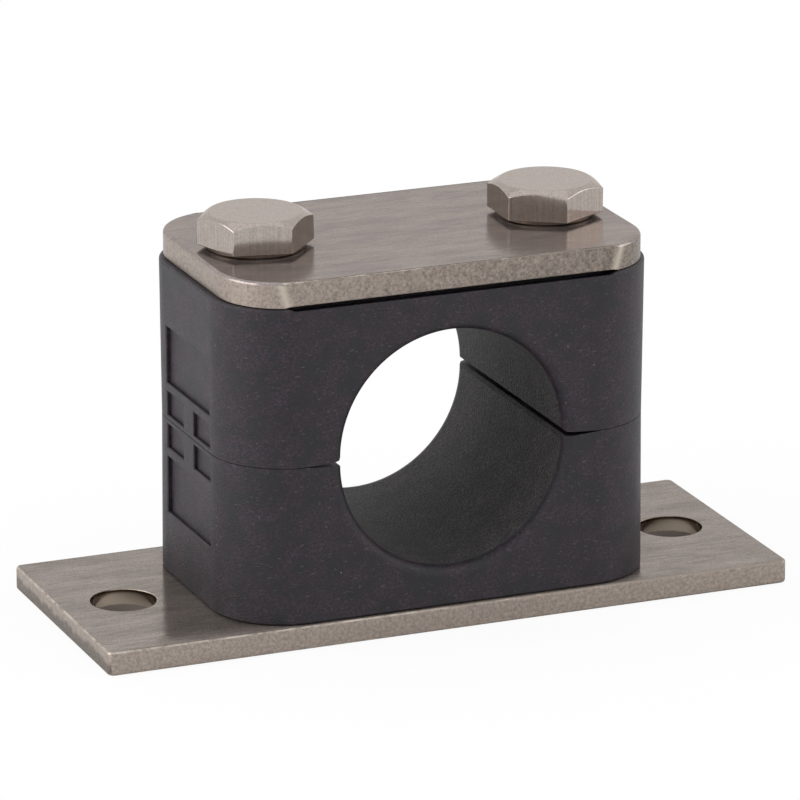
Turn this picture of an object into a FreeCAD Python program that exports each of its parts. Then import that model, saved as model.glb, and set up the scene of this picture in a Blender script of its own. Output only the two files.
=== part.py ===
import FreeCAD, Part
import math
import os

import Sketcher
from FreeCAD import Placement, Rotation, Vector

# Light-series tube clamp for one 25 mm tube, in millimetres.
# X runs along the weld plate, Y along the tube, Z up. The origin is the centre of the plate's underside.

SIZES = {
    # Weld plate
    "plate_width": 30.0,
    "plate_thickness": 2.6,
    "plate_end_length": 14.4,
    "plate_corner_radius": 0.7,
    "plate_edge_chamfer": 0.2,
    "fixing_hole_diameter": 7.0,
    "fixing_hole_end_distance": 7.0,
    "fixing_hole_chamfer": 0.2,
    # Tapped collars, drawn up out of the weld plate
    "collar_wall": 1.94,
    "collar_height": 5.4,
    "collar_root_chamfer": 0.25,
    "collar_rim_chamfer": 0.4,
    "collar_mouth_chamfer": 0.9,
    # Bore for the tube: each half's arc is centred a little inside the half
    "tube_diameter": 25.0,
    "bore_centre_inset": 0.35,
    "bore_rim_radius": 1.2,
    "bore_floor": 4.35,
    "bore_to_bolt_hole": 0.7,
    # Clamp half: both halves are the same moulding
    "half_side_setback": 0.25,
    "half_end_margin": 7.8,
    "half_corner_radius": 8.0,
    "half_draft_angle": 0.35,
    "half_outer_edge_chamfer": 0.25,
    # Relief of the mating face beside the bore
    "relief_depth": 0.25,
    "relief_length": 4.8,
    "relief_corner_chamfer": 0.35,
    # Recessed panels in both end faces
    "panel_depth": 0.5,
    "large_panel_width": 12.8,
    "large_panel_height": 6.2,
    "small_panel_width": 4.9,
    "small_panel_height": 2.6,
    "small_panel_gap": 3.0,
    "small_panel_offset": 0.5,
    "panel_row_gap": 1.0,
    # Cover plate: punched with round corners, then sheared along its long sides
    "cover_end_inset": 0.7,
    "cover_side_inset": 0.6,
    "cover_shear_allowance": 0.35,
    "cover_thickness": 2.8,
    "cover_corner_radius": 7.0,
    "cover_top_edge_chamfer": 0.25,
    # Hexagon bolts
    "thread_diameter": 6.0,
    "bolt_tip_depth": 1.8,
    "bolt_tip_chamfer": 0.7,
    "head_across_flats": 10.8,
    "head_height": 3.8,
    "head_top_step": 0.5,
    "head_chamfer_angle": 30.0,
    "washer_face_step": 0.2,
    "washer_face_height": 0.45,
    "left_bolt_turn": 47.4,
    "right_bolt_turn": 28.3,
    # Clearances
    "thread_clearance": 0.06,
    "bolt_hole_clearance": 0.3,
    "collar_side_clearance": 0.3,
    "collar_end_clearance": 0.5,
}


class Size:
    """A length or angle with its value and the expression that ties it to the sheet."""

    def __init__(self, text, value):
        self.text = text
        self.value = value

    def combined(self, sign, other, value):
        other_text = other.text if isinstance(other, Size) else repr(other)
        return Size(f"({self.text} {sign} {other_text})", value)

    def __add__(self, other):
        return self.combined("+", other, self.value + plain(other))

    def __sub__(self, other):
        return self.combined("-", other, self.value - plain(other))

    def __mul__(self, other):
        return self.combined("*", other, self.value * plain(other))

    def __truediv__(self, other):
        return self.combined("/", other, self.value / plain(other))

    def __neg__(self):
        return Size(f"(-1 * {self.text})", -self.value)


def plain(number):
    return number.value if isinstance(number, Size) else number


# Edges and faces are told apart by their place to within this distance
NEAR = 0.01


doc = FreeCAD.newDocument("TubeClamp")
sheet = doc.addObject("Spreadsheet::Sheet", "Sizes")
for row, (alias, value) in enumerate(SIZES.items(), start=1):
    sheet.set(f"A{row}", alias.replace("_", " "))
    sheet.set(f"B{row}", str(value))
    sheet.setAlias(f"B{row}", alias)
doc.recompute()

size = {alias: Size(f"Sizes.{alias}", value) for alias, value in SIZES.items()}

# Sizes and places that follow from the driving dimensions
bore_radius = size["tube_diameter"] / 2
bolt_hole_diameter = size["thread_diameter"] + size["bolt_hole_clearance"] * 2
bolt_x = bore_radius + size["bore_to_bolt_hole"] + bolt_hole_diameter / 2
tapped_diameter = size["thread_diameter"] + size["thread_clearance"] * 2
collar_diameter = tapped_diameter + size["collar_wall"] * 2
half_length = (bolt_x + size["half_end_margin"]) * 2
half_width = size["plate_width"] - size["half_side_setback"] * 2
half_height = bore_radius + size["bore_centre_inset"] + size["bore_floor"]
plate_length = half_length + size["plate_end_length"] * 2
fixing_hole_x = plate_length / 2 - size["fixing_hole_end_distance"]
cover_length = half_length - size["cover_end_inset"] * 2
cover_width = half_width - size["cover_side_inset"] * 2
cover_seat_z = size["plate_thickness"] + half_height * 2
bolt_seat_z = cover_seat_z + size["cover_thickness"]
bolt_length = bolt_seat_z - size["bolt_tip_depth"]


def tie(feature, name, bound):
    """Set a property and bind it to the sheet."""
    feature.setExpression(name, bound.text)


def new_body(label):
    body = doc.addObject("PartDesign::Body", label)
    body.Label = label
    return body


def origin_plane(body, role):
    return next(item for item in body.Origin.OriginFeatures if item.Role == role)


def new_sketch(body, name, role, offset=None, up=None):
    """A sketch on one of the body's origin planes, moved along the normal or up in the plane."""
    sketch = body.newObject("Sketcher::SketchObject", name)
    sketch.AttachmentSupport = (origin_plane(body, role), [""])
    sketch.MapMode = "FlatFace"
    for axis, shift in (("z", offset), ("y", up)):
        if shift is not None:
            sketch.setExpression(f"AttachmentOffset.Base.{axis}", shift.text)
    return sketch


def place_point(sketch, line, end, point):
    """Hold one end of a line at a place measured from the sketch's origin."""
    axes = (("DistanceX", -2), ("DistanceY", -1))
    for (kind, axis_line), place in zip(axes, point):
        if isinstance(place, Size):
            index = sketch.addConstraint(Sketcher.Constraint(kind, -1, 1, line, end, place.value))
            sketch.setExpression(f"Constraints[{index}]", place.text)
        else:
            sketch.addConstraint(Sketcher.Constraint("PointOnObject", line, end, axis_line))


def draw_outline(sketch, points):
    """A closed outline of straight lines. A place of 0 lies on the axis."""
    ends = [Vector(plain(x), plain(y), 0) for x, y in points]
    lines = []
    for start, stop in zip(ends, ends[1:] + ends[:1]):
        lines.append(sketch.addGeometry(Part.LineSegment(start, stop), False))
    for line, following in zip(lines, lines[1:] + lines[:1]):
        sketch.addConstraint(Sketcher.Constraint("Coincident", line, 2, following, 1))
    for line, point in zip(lines, points):
        place_point(sketch, line, 1, point)


def draw_rectangle(sketch, width, height, low=None, left=None):
    """A rectangle, centred on the origin unless its low or left side is given."""
    x0 = -width / 2 if left is None else left
    x1 = width / 2 if left is None else left + width
    y0 = -height / 2 if low is None else low
    y1 = height / 2 if low is None else low + height
    draw_outline(sketch, [(x0, y0), (x1, y0), (x1, y1), (x0, y1)])


def draw_circle(sketch, diameter, centre):
    circle = Part.Circle(Vector(plain(centre[0]), plain(centre[1]), 0), Vector(0, 0, 1), diameter.value / 2)
    index = sketch.addGeometry(circle, False)
    constraint = sketch.addConstraint(Sketcher.Constraint("Diameter", index, diameter.value))
    sketch.setExpression(f"Constraints[{constraint}]", diameter.text)
    place_point(sketch, index, 3, centre)


def draw_circle_pair(sketch, diameter, centre_x):
    for x in (-centre_x, centre_x):
        draw_circle(sketch, diameter, (x, 0))


def pad(body, name, sketch, length):
    feature = body.newObject("PartDesign::Pad", name)
    feature.Profile = sketch
    tie(feature, "Length", length)
    doc.recompute()
    return feature


def pocket(body, name, sketch, depth=None, upwards=False):
    """A pocket of the given depth, or right through both ways from its sketch."""
    feature = body.newObject("PartDesign::Pocket", name)
    feature.Profile = sketch
    feature.Reversed = upwards
    if depth is None:
        feature.Type = "ThroughAll"
        feature.SideType = "Symmetric"
    else:
        tie(feature, "Length", depth)
    doc.recompute()
    return feature


def round_edges(body, name, base, radius, chosen):
    feature = body.newObject("PartDesign::Fillet", name)
    feature.Base = (base, edge_names(base, chosen))
    tie(feature, "Radius", radius)
    doc.recompute()
    return feature


def chamfer_edges(body, name, base, width, chosen):
    feature = body.newObject("PartDesign::Chamfer", name)
    feature.Base = (base, edge_names(base, chosen))
    tie(feature, "Size", width)
    doc.recompute()
    return feature


def groove(body, name, sketch, axis):
    """A full turn cut about one of the sketch's own axes."""
    feature = body.newObject("PartDesign::Groove", name)
    feature.Profile = sketch
    feature.ReferenceAxis = (sketch, [axis])
    feature.Angle = 360
    doc.recompute()
    return feature


def mirror(body, name, original, role):
    feature = body.newObject("PartDesign::Mirrored", name)
    feature.Originals = [original]
    feature.MirrorPlane = (origin_plane(body, role), [""])
    body.Tip = feature
    doc.recompute()
    return feature


def draft_sides(body, name, base, angle):
    """Lean every upright face inwards, away from the body's XY plane."""
    feature = body.newObject("PartDesign::Draft", name)
    sides = [f"Face{number}" for number, face in enumerate(base.Shape.Faces, start=1)
             if face.BoundBox.ZLength > NEAR]
    feature.Base = (base, sides)
    feature.NeutralPlane = (origin_plane(body, "XY_Plane"), [""])
    tie(feature, "Angle", angle)
    doc.recompute()
    return feature


def edge_names(base, chosen):
    return [f"Edge{number}" for number, edge in enumerate(base.Shape.Edges, start=1) if chosen(edge)]


def lies_at_height(edge, height):
    box = edge.BoundBox
    return abs(box.ZMin - plain(height)) < NEAR and abs(box.ZMax - plain(height)) < NEAR


def is_upright(edge):
    """An edge that climbs, straight up or along a drafted corner."""
    box = edge.BoundBox
    return box.ZLength > 10 * max(box.XLength, box.YLength)


def is_round(edge, diameter):
    return isinstance(edge.Curve, Part.Circle) and abs(edge.Curve.Radius * 2 - plain(diameter)) < NEAR


def build_weld_plate():
    body = new_body("weld_plate")
    thickness = size["plate_thickness"]

    outline = new_sketch(body, "PlateOutline", "XY_Plane")
    draw_rectangle(outline, plate_length, size["plate_width"])
    plate = pad(body, "Plate", outline, thickness)
    corners = round_edges(body, "PlateCorners", plate, size["plate_corner_radius"], is_upright)
    chamfer_edges(
        body, "PlateEdges", corners, size["plate_edge_chamfer"], lambda edge: not is_upright(edge))

    collar_outline = new_sketch(body, "CollarOutline", "XY_Plane")
    draw_circle_pair(collar_outline, collar_diameter, bolt_x)
    collars = pad(body, "Collars", collar_outline, thickness + size["collar_height"])
    chamfer_edges(
        body, "CollarRoots", collars, size["collar_root_chamfer"],
        lambda edge: lies_at_height(edge, thickness) and is_round(edge, collar_diameter))

    tapped_holes = new_sketch(body, "TappedHoleOutline", "XY_Plane")
    draw_circle_pair(tapped_holes, tapped_diameter, bolt_x)
    tapped = pocket(body, "TappedHoles", tapped_holes)
    mouths = chamfer_edges(
        body, "CollarMouths", tapped, size["collar_mouth_chamfer"],
        lambda edge: lies_at_height(edge, 0) and is_round(edge, tapped_diameter))
    chamfer_edges(
        body, "CollarRims", mouths, size["collar_rim_chamfer"],
        lambda edge: lies_at_height(edge, thickness + size["collar_height"]))

    fixing_holes = new_sketch(body, "FixingHoleOutline", "XY_Plane")
    draw_circle_pair(fixing_holes, size["fixing_hole_diameter"], fixing_hole_x)
    fixing = pocket(body, "FixingHoles", fixing_holes)
    body.Tip = chamfer_edges(
        body, "FixingHoleEdges", fixing, size["fixing_hole_chamfer"],
        lambda edge: is_round(edge, size["fixing_hole_diameter"]) and edge.BoundBox.ZLength < NEAR)
    return body


def build_clamp_half(label):
    """One moulded half, with its outer face at z = 0 and its mating face at z = half_height."""
    body = new_body(label)
    outline = new_sketch(body, "HalfOutline", "XY_Plane")
    draw_rectangle(outline, half_length, half_width)
    block = pad(body, "Block", outline, half_height)
    corners = round_edges(body, "Corners", block, size["half_corner_radius"], is_upright)
    drafted = draft_sides(body, "Drafted", corners, size["half_draft_angle"])
    chamfer_edges(
        body, "OuterEdge", drafted, size["half_outer_edge_chamfer"], lambda edge: lies_at_height(edge, 0))
    cut_bore(body)
    cut_bolt_holes(body)
    cut_panels(body)
    return body


def cut_bore(body):
    """The tube's bore with rounded rims, and the relief of the mating face beside it."""
    bore_outline = new_sketch(body, "BoreOutline", "XZ_Plane", up=half_height)
    draw_circle(bore_outline, size["tube_diameter"], (0, -size["bore_centre_inset"]))
    pocket(body, "Bore", bore_outline)

    rim_outline = new_sketch(body, "RimOutline", "YZ_Plane", up=half_height - size["bore_centre_inset"])
    draw_outline(rim_outline, rim_profile(half_width / 2, bore_radius, size["bore_rim_radius"]))
    rim = groove(body, "BoreRim", rim_outline, "H_Axis")
    mirror(body, "OtherBoreRim", rim, "XZ_Plane")

    relief_outline = new_sketch(body, "ReliefOutline", "XZ_Plane", up=half_height)
    relief_end = bore_radius + size["relief_length"]
    relief_start = bore_radius + size["relief_corner_chamfer"]
    notch_floor = -(size["relief_depth"] + size["relief_corner_chamfer"])
    draw_outline(relief_outline, [
        (relief_end, 0), (-relief_end, 0), (-relief_start, -size["relief_depth"]),
        (-bore_radius, notch_floor), (bore_radius, notch_floor), (relief_start, -size["relief_depth"])])
    pocket(body, "Relief", relief_outline)


def rim_profile(face, bore, radius):
    """What the rounding of the rim takes off, with its arc taken in three equal steps."""
    inner = face - radius
    outer = face + radius
    below = bore - radius
    above = bore + radius
    arc = []
    for degrees in (0, 30, 60, 90):
        turn = math.radians(degrees)
        arc.append((inner + radius * math.sin(turn), above - radius * math.cos(turn)))
    return arc + [(outer, above), (outer, below), (inner, below)]


def cut_bolt_holes(body):
    bolt_holes = new_sketch(body, "BoltHoleOutline", "XY_Plane")
    draw_circle_pair(bolt_holes, bolt_hole_diameter, bolt_x)
    pocket(body, "BoltHoles", bolt_holes)
    collar_seats = new_sketch(body, "CollarSeatOutline", "XY_Plane")
    draw_circle_pair(collar_seats, collar_diameter + size["collar_side_clearance"] * 2, bolt_x)
    seat_depth = size["collar_height"] + size["collar_end_clearance"]
    pocket(body, "CollarSeats", collar_seats, seat_depth, upwards=True)


def cut_panels(body):
    """A large and two small recessed panels in each end face, stacked away from the mating face."""
    floor = half_length / 2 - size["panel_depth"]
    outline = new_sketch(body, "PanelOutline", "YZ_Plane", offset=floor, up=half_height)
    small_low = -(size["small_panel_offset"] + size["small_panel_height"])
    small_left = size["small_panel_gap"] / 2
    for left in (small_left, -(small_left + size["small_panel_width"])):
        draw_rectangle(
            outline, size["small_panel_width"], size["small_panel_height"], low=small_low, left=left)
    large_low = small_low - size["panel_row_gap"] - size["large_panel_height"]
    draw_rectangle(outline, size["large_panel_width"], size["large_panel_height"], low=large_low)
    panels = pocket(body, "Panels", outline, size["panel_depth"], upwards=True)
    mirror(body, "OtherEndPanels", panels, "YZ_Plane")


def build_cover_plate():
    body = new_body("cover_plate")
    thickness = size["cover_thickness"]
    blank_outline = new_sketch(body, "BlankOutline", "XY_Plane")
    draw_rectangle(blank_outline, cover_length, cover_width + size["cover_shear_allowance"] * 2)
    blank = pad(body, "Blank", blank_outline, thickness)
    round_edges(body, "BlankCorners", blank, size["cover_corner_radius"], is_upright)

    trim_outline = new_sketch(body, "TrimOutline", "XY_Plane")
    for low in (cover_width / 2, -(cover_width / 2 + size["cover_shear_allowance"])):
        draw_rectangle(trim_outline, cover_length, size["cover_shear_allowance"], low=low)
    pocket(body, "ShearedSides", trim_outline)

    hole_outline = new_sketch(body, "BoltHoleOutline", "XY_Plane")
    draw_circle_pair(hole_outline, bolt_hole_diameter, bolt_x)
    holes = pocket(body, "BoltHoles", hole_outline)
    body.Tip = chamfer_edges(
        body, "TopEdge", holes, size["cover_top_edge_chamfer"],
        lambda edge: lies_at_height(edge, thickness) and not is_round(edge, bolt_hole_diameter))
    return body


def build_hex_bolt(label):
    """A bolt with its head's seat at z = 0 and its shank pointing down."""
    body = new_body(label)
    shank_radius = size["thread_diameter"] / 2
    half_flats = size["head_across_flats"] / 2
    washer_radius = half_flats - size["washer_face_step"]
    tip_radius = shank_radius - size["bolt_tip_chamfer"]
    tip_shoulder = -(bolt_length - size["bolt_tip_chamfer"])

    turned_outline = new_sketch(body, "TurnedOutline", "XZ_Plane")
    draw_outline(turned_outline, [
        (0, size["washer_face_height"]), (washer_radius, size["washer_face_height"]), (washer_radius, 0),
        (shank_radius, 0), (shank_radius, tip_shoulder), (tip_radius, -bolt_length), (0, -bolt_length)])
    shank = body.newObject("PartDesign::Revolution", "Shank")
    shank.Profile = turned_outline
    shank.ReferenceAxis = (turned_outline, ["V_Axis"])
    shank.Angle = 360
    doc.recompute()

    corner = size["head_across_flats"] / math.sqrt(3)
    hexagon = new_sketch(body, "HexagonOutline", "XY_Plane", offset=size["washer_face_height"])
    draw_outline(hexagon, [
        (corner, 0), (corner / 2, half_flats), (-corner / 2, half_flats),
        (-corner, 0), (-corner / 2, -half_flats), (corner / 2, -half_flats)])
    pad(body, "Hexagon", hexagon, size["head_height"] - size["washer_face_height"])

    top_radius = half_flats - size["head_top_step"]
    slope = math.tan(math.radians(SIZES["head_chamfer_angle"]))
    cut_radius = corner + size["head_top_step"]
    cut_height = size["head_height"] - (cut_radius - top_radius) * slope
    cone_outline = new_sketch(body, "ConeOutline", "XZ_Plane")
    draw_outline(cone_outline, [
        (top_radius, size["head_height"]), (cut_radius, cut_height), (cut_radius, size["head_height"])])
    groove(body, "HeadCone", cone_outline, "V_Axis")
    return body


def place(body, z=None, x=None, turn=None, turn_axis=Vector(0, 0, 1)):
    """Turn a finished body about an axis through its origin and set it at its place."""
    body.Placement = Placement(Vector(0, 0, 0), Rotation(turn_axis, plain(turn) if turn else 0))
    if isinstance(turn, Size):
        tie(body, "Placement.Rotation.Angle", turn)
    for axis, shift in (("x", x), ("z", z)):
        if shift is not None:
            tie(body, f"Placement.Base.{axis}", shift)
    doc.recompute()


weld_plate = build_weld_plate()
place(weld_plate)

lower_half = build_clamp_half("lower_clamp_half")
place(lower_half, z=size["plate_thickness"])

# The upper half is the lower one turned over about the tube's axis
upper_half = build_clamp_half("upper_clamp_half")
place(upper_half, z=cover_seat_z, turn=180, turn_axis=Vector(0, 1, 0))

cover_plate = build_cover_plate()
place(cover_plate, z=cover_seat_z)

hex_bolts = []
for label, turn, x in (
    ("hex_bolt_left", "left_bolt_turn", -bolt_x),
    ("hex_bolt_right", "right_bolt_turn", bolt_x),
):
    bolt = build_hex_bolt(label)
    place(bolt, z=bolt_seat_z, x=x, turn=size[turn])
    hex_bolts.append(bolt)

sub_parts = [weld_plate, lower_half, upper_half, cover_plate] + hex_bolts

for item in doc.Objects:
    if "Invalid" in item.State or "Error" in item.State:
        raise RuntimeError(f"{item.Label} failed: {item.State}")
for body in sub_parts:
    if body.Shape.isNull() or not body.Shape.isValid():
        raise RuntimeError(f"{body.Label} has no valid shape")

os.makedirs("parts", exist_ok=True)
for body in sub_parts:
    body.Shape.exportStep(f"parts/{body.Label}.step")
    box = body.Shape.BoundBox
    print(
        f"{body.Label}: {len(body.Shape.Solids)} solid, {body.Shape.Volume:.1f} mm3, "
        f"x {box.XMin:.2f} to {box.XMax:.2f}, y {box.YMin:.2f} to {box.YMax:.2f}, "
        f"z {box.ZMin:.2f} to {box.ZMax:.2f}")
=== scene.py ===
import math

import bmesh
import bpy
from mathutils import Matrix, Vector


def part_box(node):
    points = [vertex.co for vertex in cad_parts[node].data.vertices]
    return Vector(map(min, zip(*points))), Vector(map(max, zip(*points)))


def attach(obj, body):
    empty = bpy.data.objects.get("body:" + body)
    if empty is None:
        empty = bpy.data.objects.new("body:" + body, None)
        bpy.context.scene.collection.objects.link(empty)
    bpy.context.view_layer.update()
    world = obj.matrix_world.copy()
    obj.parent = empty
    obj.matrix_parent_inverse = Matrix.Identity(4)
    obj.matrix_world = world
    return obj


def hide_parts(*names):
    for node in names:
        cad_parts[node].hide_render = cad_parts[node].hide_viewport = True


# A light-series tube clamp. Sizes in the dictionaries are in millimetres and angles in degrees
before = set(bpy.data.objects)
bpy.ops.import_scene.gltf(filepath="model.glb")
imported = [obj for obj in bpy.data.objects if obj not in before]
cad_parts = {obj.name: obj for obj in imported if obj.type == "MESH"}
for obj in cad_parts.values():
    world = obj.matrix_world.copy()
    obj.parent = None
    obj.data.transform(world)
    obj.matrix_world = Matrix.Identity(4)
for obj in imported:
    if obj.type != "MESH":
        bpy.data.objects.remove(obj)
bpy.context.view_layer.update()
mm = 0.001
print("The fixed frame is loaded:", ", ".join(sorted(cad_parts)))


# Shared helpers for modelling

def activate(piece):
    bpy.ops.object.select_all(action="DESELECT")
    piece.select_set(True)
    bpy.context.view_layer.objects.active = piece


def startEdit(piece):
    activate(piece)
    bpy.ops.object.mode_set(mode="EDIT")


def endEdit():
    bpy.ops.object.mode_set(mode="OBJECT")


def setPlace(piece):
    activate(piece)
    bpy.ops.object.transform_apply(location=True, rotation=True, scale=True)


def addBox(name, low, high):
    bpy.ops.object.select_all(action="DESELECT")
    bpy.ops.mesh.primitive_cube_add(size=1, location=[(a + b) / 2 * mm for a, b in zip(low, high)])
    box = bpy.context.object
    box.name = name
    box.scale = [(b - a) * mm for a, b in zip(low, high)]
    setPlace(box)
    return box


# A rod or cone that stands on the point foot, turned about its own axis by the given degrees
def addRod(name, foot, height, radius, topRadius=None, sides=96, turn=0):
    bpy.ops.object.select_all(action="DESELECT")
    centre = (foot[0] * mm, foot[1] * mm, (foot[2] + height / 2) * mm)
    bpy.ops.mesh.primitive_cone_add(
        vertices=sides, radius1=radius * mm, radius2=(topRadius or radius) * mm,
        depth=height * mm, location=centre, rotation=(0, 0, math.radians(turn)))
    rod = bpy.context.object
    rod.name = name
    setPlace(rod)
    return rod


# Selects vertices, edges or faces of the piece in edit mode, by their place or normal
def pick(piece, kind, test):
    bpy.ops.mesh.select_mode(type=kind)
    bpy.ops.mesh.select_all(action="DESELECT")
    mesh = bmesh.from_edit_mesh(piece.data)
    elements = {"VERT": mesh.verts, "EDGE": mesh.edges, "FACE": mesh.faces}[kind]
    for element in [element for element in elements if test(element)]:
        element.select_set(True)
    bmesh.update_edit_mesh(piece.data)


near = 0.004 * mm  # how closely a place has to agree
sliver = 0.0005 * mm  # an edge shorter than this is taken away
reach = 1.0  # how far a cutting tool stands out of the piece, in millimetres
facing = 0.9  # a face looks along an axis where its normal's share of that axis is above this
upright = 0.3  # a face is upright where its normal's share of Z is below this
sharpAngle = 0.2  # an edge between faces that turn by more than this is sharp, in radians


def isSharp(edge):
    return edge.calc_face_angle(0) > sharpAngle


def atHeight(edge, height):
    return isSharp(edge) and all(abs(vert.co.z - height * mm) < near for vert in edge.verts)


# An edge that climbs at least five times as far as it runs
def isUpright(edge):
    a, b = (vert.co for vert in edge.verts)
    return abs(a.z - b.z) > 5 * (a - b).to_2d().length


def onRing(edge, x, y, radius, height):
    centre = Vector((x * mm, y * mm))
    return atHeight(edge, height) and all(
        abs((vert.co.to_2d() - centre).length - radius * mm) < near for vert in edge.verts)


def roundEdges(piece, test, radius, segments):
    startEdit(piece)
    pick(piece, "EDGE", test)
    bpy.ops.mesh.bevel(
        offset=radius * mm, offset_type="OFFSET", segments=segments, profile=0.5, affect="EDGES")
    endEdit()


# Cuts the piece by the tool, or joins or intersects the two, and takes the tool away
def combine(piece, tool, operation="DIFFERENCE"):
    activate(piece)
    modifier = piece.modifiers.new("combine", "BOOLEAN")
    modifier.object = tool
    modifier.operation = operation
    modifier.solver = "EXACT"
    bpy.ops.object.modifier_apply(modifier=modifier.name)
    bpy.data.objects.remove(tool, do_unlink=True)


# Takes slivers away, points the faces outwards and shades the round faces smooth and the flat ones flat
def finishSurface(piece, angle=32):
    startEdit(piece)
    bpy.ops.mesh.select_all(action="SELECT")
    bpy.ops.mesh.dissolve_degenerate(threshold=sliver)
    bpy.ops.mesh.normals_make_consistent(inside=False)
    endEdit()
    bpy.ops.object.shade_smooth_by_angle(angle=math.radians(angle))
    modifier = piece.modifiers.new("flatFaces", "WEIGHTED_NORMAL")
    modifier.keep_sharp = True
    bpy.ops.object.modifier_apply(modifier=modifier.name)


# Shared sizes, read from the frame where it has them
plateLow, plateHigh = (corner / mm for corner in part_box("weld_plate"))
halfLow, halfHigh = (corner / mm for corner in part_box("lower_clamp_half"))
coverLow, coverHigh = (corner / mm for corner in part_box("cover_plate"))
boltLow, boltHigh = (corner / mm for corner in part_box("hex_bolt_left"))
boltX = -(boltLow.x + boltHigh.x) / 2
plateTop = halfLow.z
splitHeight = halfHigh.z
seatHeight = coverHigh.z


# Weld plate

weldPlate = {
    "cornerRadius": 0.7,
    "edgeRound": 0.3,
    "fixingHoleRadius": 3.5,
    "fixingHoleX": 31.7,
    "holeEdgeRound": 0.16,
    "collarRadius": 5.0,
    "collarEdgeRound": 0.3,
    "tappedRadius": 3.06,
    "mouthChamfer": 0.9,
}


def makeWeldPlate():
    size = weldPlate
    plate = addBox("weldPlate", plateLow, (plateHigh.x, plateHigh.y, plateTop))
    roundEdges(plate, isUpright, size["cornerRadius"], segments=6)
    roundEdges(
        plate, lambda edge: atHeight(edge, plateTop) or atHeight(edge, 0), size["edgeRound"], segments=4)
    for x in (-boltX, boltX):
        foot = plateTop / 2
        combine(plate, addRod("collar", (x, 0, foot), plateHigh.z - foot, size["collarRadius"]), "UNION")
        roundEdges(
            plate, lambda edge: onRing(edge, x, 0, size["collarRadius"], plateHigh.z),
            size["collarEdgeRound"], segments=3)
        radius = size["tappedRadius"]
        combine(plate, addRod("tappedHole", (x, 0, -reach), plateHigh.z + 2 * reach, radius))
        flare = reach + size["mouthChamfer"]
        combine(plate, addRod("mouth", (x, 0, -reach), flare, radius + flare, radius))
    for x in (-size["fixingHoleX"], size["fixingHoleX"]):
        radius = size["fixingHoleRadius"]
        combine(plate, addRod("fixingHole", (x, 0, -reach), plateTop + 2 * reach, radius))
        for height in (0, plateTop):
            roundEdges(
                plate, lambda edge: onRing(edge, x, 0, radius, height), size["holeEdgeRound"], segments=3)
    finishSurface(plate)
    print("Weld plate modelled")
    return plate


# Clamp half: the lower one is modelled, and the upper one is the same moulding turned over

clampHalf = {
    "cornerRadius": 8.0,
    "draft": 0.35,
    "outerEdgeRound": 0.32,
    "rebateMouth": 0.22,
    "rebateDepth": 0.75,
    "rebateWidth": 2.4,
    "rebateLength": 42.6,
    "rebateRunOut": 3.6,
    "matingEdgeRound": 0.12,
    "boreRadius": 12.5,
    "boreSides": 192,
    "boreMargin": 0.1,
    "boreInset": 0.35,
    "rimRound": 1.2,
    "rimStep": 12,
    "reliefDepth": 0.25,
    "reliefLength": 4.8,
    "notch": 0.35,
    "boltHoleRadius": 3.3,
    "collarSeatRadius": 5.3,
    "collarSeatDepth": 5.9,
    "panelDepth": 0.5,
    "panelEdge": 0.1,
    "largePanel": (12.8, 6.2),
    "smallPanel": (4.9, 2.6),
    "smallPanelGap": 3.0,
    "smallPanelOffset": 0.5,
    "rowGap": 1.0,
}


# The tube's bore: a bar along Y whose ends flare out by the round of the rim and lean with the drafted face
def makeBoreTool(narrowing):
    size = clampHalf
    centreHeight = splitHeight - size["boreInset"]
    face = halfHigh.y - narrowing
    straight = face - size["rimRound"]
    tool = addRod("bore", (0, 0, -straight), 2 * straight, size["boreRadius"], sides=size["boreSides"])
    tool.rotation_euler.x = math.pi / 2
    tool.location.z = centreHeight * mm
    setPlace(tool)
    stations = []
    for degrees in range(0, 90, size["rimStep"]):
        turn = math.radians(degrees)
        flare = size["rimRound"] * (1 - math.cos(turn))
        stations.append((straight + size["rimRound"] * math.sin(turn), size["boreRadius"] + flare))
    end, radius = stations[-1]
    stations.append((end + 2 * reach * math.cos(turn), radius + 2 * reach * math.sin(turn)))
    for side in (-1, 1):
        startEdit(tool)
        pick(tool, "FACE", lambda found: all(
            vert.co.y * side > straight * mm - near for vert in found.verts))
        for before, after in zip(stations, stations[1:]):
            growth = after[1] / before[1]
            bpy.ops.mesh.extrude_region_move(
                TRANSFORM_OT_translate={"value": (0, side * (after[0] - before[0]) * mm, 0)})
            bpy.ops.transform.resize(
                value=(growth, 1, growth), center_override=(0, side * after[0] * mm, centreHeight * mm))
        pick(tool, "VERT", lambda vert: vert.co.y * side > straight * mm + near)
        bpy.ops.transform.rotate(
            value=-side * math.radians(size["draft"]), orient_axis="X",
            center_override=(0, side * face * mm, splitHeight * mm))
        endEdit()
    return tool


# The relief beside the bore: a wedge that runs out to nothing, with a notch at the bore's edge
def makeReliefTool():
    size = clampHalf
    floor = splitHeight - size["reliefDepth"]
    tool = addBox(
        "relief", (-size["boreRadius"], halfLow.y - reach, floor - size["notch"]),
        (size["boreRadius"], halfHigh.y + reach, splitHeight + reach))
    stations = (
        (size["boreRadius"], size["boreRadius"] + size["notch"], size["notch"]),
        (size["boreRadius"] + size["notch"], size["boreRadius"] + size["reliefLength"], size["reliefDepth"]),
    )
    for side in (-1, 1):
        for start, end, rise in stations:
            startEdit(tool)
            pick(tool, "FACE", lambda found: found.normal.x * side > facing)
            bpy.ops.mesh.extrude_region_move(
                TRANSFORM_OT_translate={"value": (side * (end - start) * mm, 0, 0)})
            pick(tool, "VERT", lambda vert: (
                vert.co.x * side > end * mm - near and vert.co.z < splitHeight * mm))
            bpy.ops.transform.translate(value=(0, 0, rise * mm))
            endEdit()
    return tool


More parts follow.
